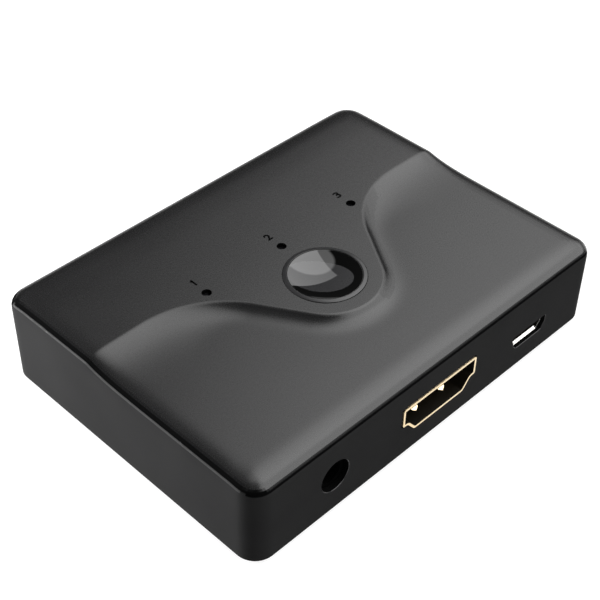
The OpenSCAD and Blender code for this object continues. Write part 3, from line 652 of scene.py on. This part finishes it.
# the chamfer of a cut-out: two outlines, the outer one larger, joined by a sloping side
def cutFlare(socket, place, level, width):
    bm = bmesh.new()
    for grow, depth in ((width * 2, -width), (0, width)):
        outline = bmesh.new()
        outlineFace(outline, socket, socket["gap"] + grow)
        roundCorners(outline, socket["corner"] + grow)
        bmesh.ops.translate(outline, verts=outline.verts, vec=(0, (level + depth) * mm, 0))
        addMesh(bm, outline)
    bmesh.ops.bridge_loops(bm, edges=list(bm.edges))
    bmesh.ops.recalc_face_normals(bm, faces=bm.faces)
    bmesh.ops.transform(bm, matrix=place, verts=bm.verts)
    return bm


def buildCover():
    # slots: roof, wall, inside with painted shade, the rolled edge's painted shade steps and the left rim's
    # painted highlights
    steps = ["edgeSatin%d" % (step + 1) for step in range(len(edgeShadeSteps))]
    slots = ["roofSatin", "wallSatin", "insidePaintedShade", *steps, *rimHighlightShares]
    solid = toObject("topCover", caseBlock(), *[made[name] for name in slots])
    ahead, deep, flare = cover["cutAhead"], cover["cutDeep"], cover["flare"]
    jackX, _, jackZ = nodeMiddle("remote_jack_body")
    jackHole = cover["jackHole"]

    # cut-outs are lined with painted shade unless told otherwise
    def cut(name, tool, lining="insidePaintedShade"):
        carve(solid, toObject(name, tool, made[lining]))

    w, d = halfW - cover["wall"], halfD - cover["wall"]
    low, high = (-w, -d, cover["floor"] - ahead), (w, d, cover["ceiling"])
    cut("hollow", roundedBlock(low, high, cover["innerRadius"]))
    for name, place in videoPlaces().items():
        cut("cut_" + name, cutOut(videoSocket, place, -ahead, deep))
    cut("cut_power", cutOut(powerSocket, powerPlace, -2 * ahead, deep))
    powerFlare = cutFlare(powerSocket, powerPlace, -halfD - powerLow[1], flare)
    cut("flare_power", powerFlare, "roofSatin")
    holes, below, through = bmesh.new(), cover["ceiling"] - ahead, ahead + deep
    up, back = (0, 0, 1), (0, 1, 0)
    addRod(holes, (jackX, -halfD - ahead, jackZ), back, jackHole, deep)
    addRod(holes, (0, cover["buttonY"], below), up, cover["buttonHole"], through, cover["buttonSides"])
    for i in (-1, 0, 1):
        lamp = (i * cover["lampX"], cover["lampY"], below)
        addRod(holes, lamp, up, cover["lampHole"], through, cover["lampSides"])
    cut("holes", holes)
    jackFlare = bmesh.new()
    mouth = (jackX, -halfD - flare, jackZ)
    addRod(jackFlare, mouth, back, jackHole + 2 * flare, 2 * flare, endRadius=jackHole)
    cut("flare_jack", jackFlare, "roofSatin")
    shadeSmooth(solid, cover["sharpFrom"])
    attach(solid, "case")
    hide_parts("top_cover")


buildCover()
print("top cover built")


# button: a bevelled ring round a polished dish
button = {
    "radius": 6.05, "ringInner": 5.46, "ringTop": 15.5, "ringFall": 0.11, "round": 0.06,
    "flangeRadius": 7.0, "flangeTop": 12.8, "flangeFoot": 11.8, "capWall": 1.1, "webFoot": 12.7,
    "hubRadius": 2.2, "hubFoot": 9.45,
    "dishFoot": 13.7, "dishGap": 0.01, "dishRadius": 5.4, "dishEdge": 15.45, "dishDepth": 0.9,
    "lipStart": 5.35, "lipRound": 0.06, "lipTurn": -22,
    "steps": 144, "ringSteps": 8, "rimSteps": 6, "bowlSteps": 30, "lipSteps": 10,       # mesh
    "mergeWithin": 0.0005, "sharpFrom": 40,
}


# turns a profile about the button's axis
def spinProfile(points):
    bm = bmesh.new()
    verts = [bm.verts.new(Vector((r, 0, z)) * mm) for r, z in points]
    edges = [bm.edges.new(pair) for pair in zip(verts, verts[1:])]
    bmesh.ops.spin(bm, geom=verts + edges, cent=(0, 0, 0), axis=(0, 0, 1), angle=2 * pi,
                   steps=button["steps"], use_merge=True)
    bmesh.ops.remove_doubles(bm, verts=bm.verts, dist=button["mergeWithin"] * mm)
    bmesh.ops.recalc_face_normals(bm, faces=bm.faces)
    bmesh.ops.translate(bm, verts=bm.verts, vec=(0, cover["buttonY"] * mm, 0))
    return bm


def arcPoints(cx, cz, radius, start, end, count):
    turns = [radians(start + (end - start) * i / count) for i in range(count + 1)]
    return [(cx + radius * cos(t), cz + radius * sin(t)) for t in turns]


def buildButton():
    b = button
    tilt = degrees(atan2(b["ringFall"], b["radius"] - b["ringInner"]))
    ringX, ringZ = b["ringInner"] + b["round"], b["ringTop"] - b["round"]
    ring = arcPoints(ringX, ringZ, b["round"], 180, 90 - tilt, b["ringSteps"])
    rimX, rimZ = b["radius"] - b["round"], b["ringTop"] - b["ringFall"] - b["round"]
    rim = arcPoints(rimX, rimZ, b["round"], 90 - tilt, 0, b["rimSteps"])
    inside = b["radius"] - b["capWall"]
    profile = [(0, b["dishFoot"]), (b["ringInner"], b["dishFoot"])] + ring + rim + [
        (b["radius"], b["flangeTop"]), (b["flangeRadius"], b["flangeTop"]),
        (b["flangeRadius"], b["flangeFoot"]), (inside, b["flangeFoot"]), (inside, b["webFoot"]),
        (b["hubRadius"], b["webFoot"]), (b["hubRadius"], b["hubFoot"]), (0, b["hubFoot"]),
    ]
    cap = toObject("buttonCap", spinProfile(profile), made["buttonSatin"])
    shadeSmooth(cap, b["sharpFrom"])
    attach(cap, "select_button")
    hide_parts("button_cap")


# the dish's finish: black gloss with a grey oval painted in as the reflection of a dim light
dishLook = {
    "ovalAt": (-0.56, 0.59), "ovalLong": 4.95, "ovalWide": 3.3, "ovalTurn": -50,
    "ovalTall": 100,        # m, so that depth doesn't count
    "ovalFull": 0.98,       # share inside its soft border
    "black": (0.0015, 0.0015, 0.0015), "reflectionGreyLow": (0.024, 0.024, 0.025), "reflectionGreyHigh": (0.029, 0.029, 0.030),
    "grain": 700, "rough": (0.015, 0.03), "specular": 0.66,
}


def dishGloss(name):
    look = dishLook
    material, tree, shader = startMaterial(name)
    place = addNode(tree, "ShaderNodeTexCoord")
    oval = addNode(tree, "ShaderNodeMapping", vector_type="TEXTURE")
    x, y = look["ovalAt"]
    oval.inputs["Location"].default_value = Vector((x, y + cover["buttonY"], 0)) * mm
    oval.inputs["Rotation"].default_value = (0, 0, radians(look["ovalTurn"]))
    oval.inputs["Scale"].default_value = (look["ovalLong"] * mm, look["ovalWide"] * mm, look["ovalTall"])
    length = addNode(tree, "ShaderNodeVectorMath", operation="LENGTH")
    tree.links.new(place.outputs["Object"], oval.inputs["Vector"])
    tree.links.new(oval.outputs["Vector"], length.inputs[0])
    # mask of the painted reflection: a grey oval on the black
    inPaintedReflection = mapRange(tree, length.outputs["Value"], 1, look["ovalFull"], 0, 1)
    speck = objectNoise(tree, look["grain"], detail=4)
    grey = mixColours(tree, speck, look["reflectionGreyLow"], look["reflectionGreyHigh"])
    tree.links.new(mixColours(tree, inPaintedReflection, look["black"], grey), shader.inputs["Base Color"])
    tree.links.new(mapRange(tree, speck, *noiseSpan, *look["rough"]), shader.inputs["Roughness"])
    shader.inputs["Specular IOR Level"].default_value = look["specular"]
    return material


def buildDish():
    b = button
    ball = (b["dishRadius"] ** 2 + b["dishDepth"] ** 2) / (2 * b["dishDepth"])
    centreZ = b["dishEdge"] - b["dishDepth"] + ball
    reach = degrees(asin(b["lipStart"] / ball))
    bowl = arcPoints(0, centreZ, ball, -90, reach - 90, b["bowlSteps"])
    lipX = b["lipStart"] + b["lipRound"] * sin(radians(reach))
    lipZ = bowl[-1][1] - b["lipRound"] * cos(radians(reach))
    lip = arcPoints(lipX, lipZ, b["lipRound"], 90 + reach, 90 + b["lipTurn"], b["lipSteps"])[1:]
    foot = b["dishFoot"] + b["dishGap"]
    profile = bowl + lip + [(lip[-1][0], foot), (0, foot)]
    dish = toObject("buttonDish", spinProfile(profile), dishGloss("dishGloss"))
    shadeSmooth(dish, b["sharpFrom"])
    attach(dish, "select_button")
    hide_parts("button_dish")


buildButton()
buildDish()
print("button built")


# how the shells' faces are told apart, by parts of their normals and by places in mm
shellForm = {
    "floorUp": 0.9, "floorBelow": 1,            # the sheet's inner floor
    "mouthWithin": 0.01, "mouthSide": 0.5,      # edges round the mouth
    "liningSide": 0.3, "middle": 0.55,          # inner faces with painted shade, which look at this share of the height
    "bevelSteps": 3, "sharpFrom": 35,
}


# an edge of the sheet's inner floor: the side beside it looks up
def isFloor(edge):
    up, below = shellForm["floorUp"], shellForm["floorBelow"] * mm
    return any(f.normal.z > up and f.calc_center_median().z < below for f in edge.link_faces)


# an edge of the mouth: in front, beside an inner or outer face
def isMouth(edge):
    side, within = shellForm["mouthSide"], shellForm["mouthWithin"] * mm
    return max(v.co.y for v in edge.verts) < within and any(abs(f.normal.y) < side for f in edge.link_faces)


# socket shells of folded sheet, with spring fingers in the video sockets
def buildShell(name, socket, place, node, metal, fingers):
    bm = bmesh.new()
    outlineFace(bm, socket, 0)
    roundCorners(bm, socket["corner"])
    bmesh.ops.inset_region(bm, faces=list(bm.faces), thickness=socket["sheet"] * mm,
                           use_even_offset=True, use_boundary=True)
    opening = max(bm.faces, key=lambda f: f.calc_area())
    bmesh.ops.delete(bm, geom=[opening], context="FACES_ONLY")
    pushBack(bm, list(bm.faces), socket["length"])
    bmesh.ops.recalc_face_normals(bm, faces=bm.faces)
    mouth = [e for e in bm.edges if isMouth(e)]
    inner = [e for e in mouth if socket.get("chamfer") and isFloor(e)]
    bevelEdges(bm, [e for e in mouth if e not in inner], socket["bevel"] * mm, shellForm["bevelSteps"])
    if inner:
        bevelEdges(bm, [e for e in inner if e.is_valid], socket["chamfer"] * mm, segments=1)
    # the shell's inner faces take painted shade instead of their metal
    middle = Vector((0, 0, socket["height"] * shellForm["middle"] * mm))
    for f in bm.faces:
        inward = (middle - f.calc_center_median()) * Vector((1, 0, 1))
        if inward.dot(f.normal) > 0 and abs(f.normal.y) < shellForm["liningSide"]:
            f.material_index = 1
    if fingers:
        addFingers(bm, socket)
    bmesh.ops.transform(bm, matrix=place, verts=bm.verts)
    shell = toObject(name, bm, metal, made["socketPaintedShade"])
    shadeSmooth(shell, shellForm["sharpFrom"])
    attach(shell, "case")
    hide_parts(node)


# lays a point of a flat strip on a finger: a half-round tip that rises off the sheet and runs back into it
def bendFinger(vert, s, side):
    length, half, nose = s["fingerLength"], s["fingerWidth"] / 2, s["fingerNose"]
    back = (vert.co.y + 1) / 2 * length
    tip = sqrt(clamp(1 - (1 - back / half) ** 2)) if back < half else 1
    if back < nose:
        rise = s["fingerTip"] + (1 - s["fingerTip"]) * sin(back / nose * pi / 2)
    else:
        rise = (1 + cos((back - nose) / (length - nose) * pi)) / 2
    x = side * s["fingerX"] + vert.co.x * half * max(tip, s["fingerPoint"])
    vert.co = Vector((x, s["fingerStart"] + back, s["sheet"] + rise * s["fingerRise"])) * mm


def addFingers(bm, s):
    for side in (-1, 1):
        for top in (False, True):
            strip = bmesh.new()
            bmesh.ops.create_grid(strip, x_segments=s["fingerColumns"], y_segments=s["fingerRows"], size=1)
            for vert in strip.verts:
                bendFinger(vert, s, side)
            bmesh.ops.recalc_face_normals(strip, faces=strip.faces)
            bmesh.ops.solidify(strip, geom=strip.faces, thickness=s["fingerThick"] * mm)
            if top:
                bmesh.ops.scale(strip, verts=strip.verts, vec=(1, 1, -1))
                bmesh.ops.translate(strip, verts=strip.verts, vec=(0, 0, s["height"] * mm))
            bmesh.ops.recalc_face_normals(strip, faces=strip.faces)
            addMesh(bm, strip)


for name, place in videoPlaces().items():
    shellName = name.replace("_", "") + "Shell"
    buildShell(shellName, videoSocket, place, name + "_shell", made["socketGold"], True)
buildShell("powerShell", powerSocket, powerPlace, "power_shell", made["nickel"], False)
print("sockets built")


# numbers behind the lamp holes
marks = {
    "digits": "123", "widths": (0.55, 0.98, 1.0), "height": 1.4, "behind": 2.85,       # mm
    "thick": 0.012, "bold": 0.03, "flag": 0.27, "flagThick": 0.85, "flagTurn": 42,
}


# the short stroke at the top of the 1
def addFlag(mesh):
    bm = bmesh.new()
    bm.from_mesh(mesh)
    right, top = max(v.co.x for v in bm.verts), max(v.co.y for v in bm.verts)
    wide = right - min(v.co.x for v in bm.verts)
    long, thick = marks["flag"], wide * marks["flagThick"]
    turn = Matrix.Rotation(radians(marks["flagTurn"]), 3, "Z")
    bar = bmesh.ops.create_cube(bm, size=1)["verts"]
    bmesh.ops.scale(bm, verts=bar, vec=(long, thick, 1))
    bmesh.ops.translate(bm, verts=bar, vec=(-long / 2, -thick / 2, 0))
    bmesh.ops.rotate(bm, verts=bar, cent=(0, 0, 0), matrix=turn)
    bmesh.ops.translate(bm, verts=bar, vec=(right - wide / 2, top, 0))
    bm.to_mesh(mesh)
    bm.free()


def addNumber(text, x, width):
    curve = bpy.data.curves.new("number" + text, "FONT")
    curve.body, curve.align_x, curve.align_y = text, "CENTER", "CENTER"
    curve.extrude, curve.offset = 0.5, marks["bold"]
    holder = bpy.data.objects.new("holder", curve)
    bpy.context.scene.collection.objects.link(holder)
    depsgraph = bpy.context.evaluated_depsgraph_get()
    mesh = bpy.data.meshes.new_from_object(holder.evaluated_get(depsgraph))
    bpy.data.objects.remove(holder)
    bpy.data.curves.remove(curve)
    if text == "1":
        addFlag(mesh)
    xs, ys = [v.co.x for v in mesh.vertices], [v.co.y for v in mesh.vertices]
    scale = [w * mm / (max(a) - min(a)) for w, a in ((width, xs), (marks["height"], ys))]
    centre = Vector(((max(xs) + min(xs)) / 2, (max(ys) + min(ys)) / 2, 0))
    place = shift(x, cover["lampY"] + marks["behind"], cover["plateau"])
    size = Matrix.Diagonal((*scale, marks["thick"] * mm, 1))
    mesh.transform(place @ size @ Matrix.Translation(-centre))
    mesh.materials.clear()
    mesh.materials.append(made["printBlack"])
    number = bpy.data.objects.new("number" + text, mesh)
    bpy.context.scene.collection.objects.link(number)
    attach(number, "case")


for index, text in enumerate(marks["digits"]):
    addNumber(text, (index - 1) * cover["lampX"], marks["widths"][index])
print("numbers placed")


# floor: pale, kept white where nothing shades it
floorLook = {
    "radius": 3.0, "sides": 96,         # m
    "colour": 0.35, "tint": 1.01, "patch": 3, "rough": 0.9, "glow": 0.74,
}


def addFloor():
    bm = bmesh.new()
    bmesh.ops.create_circle(bm, cap_ends=True, segments=floorLook["sides"], radius=floorLook["radius"])
    material, tree, shader = startMaterial("floorPale")
    tone = objectNoise(tree, floorLook["patch"], detail=2)
    grey = floorLook["colour"]
    paler = grey * floorLook["tint"]
    colour = mixColours(tree, tone, (grey, grey, grey), (paler, paler, paler))
    tree.links.new(colour, shader.inputs["Base Color"])
    shader.inputs["Roughness"].default_value = floorLook["rough"]
    shader.inputs["Specular IOR Level"].default_value = 0
    shader.inputs["Emission Color"].default_value = (1, 1, 1, 1)
    path = addNode(tree, "ShaderNodeLightPath")
    seen = path.outputs["Is Camera Ray"]
    for kind in ("Is Glossy Ray", "Is Transmission Ray"):
        seen = addMath(tree, "MAXIMUM", seen, path.outputs[kind])
    glow = mapRange(tree, seen, 0, 1, 0, floorLook["glow"])
    tree.links.new(glow, shader.inputs["Emission Strength"])
    toObject("floor", bm, material)


addFloor()
print("floor laid")


# studio light: soft panels painted on a dark surround, each by its direction from the object
studio = {
    "surround": 0.03, "soft": 0.006, "brightest": 10,
    "disc": {"centre": (0.470, 0.139, 0.871), "angle": 19.3, "light": 1.65},
    "panel": {
        "edges": [(0.892, -0.399, -0.212), (0.223, -0.813, 0.538)], "foot": 0.28, "light": 2.35,
        "fade": (-0.58, 0.35), "back": 0.62, "front": 1.4,      # stronger towards the front
    },
    "horizon": {"full": 0.125, "gone": 0.135, "light": 0.3},
    "side": {"centre": (-0.789, 0.521, 0.329), "angle": 15, "light": 0.2},
    "strip": {"place": (-0.14, 0.16, 0.03), "aim": (-0.035, 0.0, 0.008),       # m and W
              "size": (0.16, 0.04), "power": 2.1},
}


def addStudio():
    world = bpy.data.worlds.new("studio")
    world.use_nodes = True
    bpy.context.scene.world = world
    tree = world.node_tree
    way = addNode(tree, "ShaderNodeTexCoord").outputs["Generated"]

    def facing(direction):
        dot = addNode(tree, "ShaderNodeVectorMath", operation="DOT_PRODUCT")
        dot.inputs[1].default_value = Vector(direction).normalized()
        tree.links.new(way, dot.inputs[0])
        return dot.outputs["Value"]

    soft, brightest, dim = studio["soft"], studio["brightest"], studio["surround"]
    height = facing((0, 0, 1))
    band = studio["horizon"]
    light = mapRange(tree, height, band["gone"], band["full"], 0, band["light"])
    for disc in (studio["disc"], studio["side"]):
        edge = cos(radians(disc["angle"]))
        lit = mapRange(tree, facing(disc["centre"]), edge - soft, edge + soft, 0, disc["light"])
        light = addMath(tree, "ADD", light, lit)
    panel = studio["panel"]
    lit = mapRange(tree, height, panel["foot"] - soft, panel["foot"] + soft, 0, panel["light"])
    for edge in panel["edges"]:
        lit = addMath(tree, "MULTIPLY", lit, mapRange(tree, facing(edge), -soft, soft, 0, 1))
    graded = mapRange(tree, facing((0, -1, 0)), *panel["fade"], panel["back"], panel["front"])
    light = addMath(tree, "ADD", light, addMath(tree, "MULTIPLY", lit, graded))
    surround = mapRange(tree, light, 0, brightest, dim, brightest + dim)
    background = tree.nodes["Background"]
    background.inputs["Color"].default_value = (1, 1, 1, 1)
    tree.links.new(surround, background.inputs["Strength"])


def addStrip(strip):
    data = bpy.data.lights.new("strip", "AREA")
    data.shape, data.energy = "RECTANGLE", strip["power"]
    data.size, data.size_y = strip["size"]
    light = bpy.data.objects.new("strip", data)
    bpy.context.scene.collection.objects.link(light)
    way = Vector(strip["aim"]) - Vector(strip["place"])
    turn = way.to_track_quat("-Z", "Z").to_matrix().to_4x4()
    light.matrix_world = Matrix.Translation(strip["place"]) @ turn
    light.visible_camera = light.visible_glossy = False


addStudio()
addStrip(studio["strip"])
print("studio set")
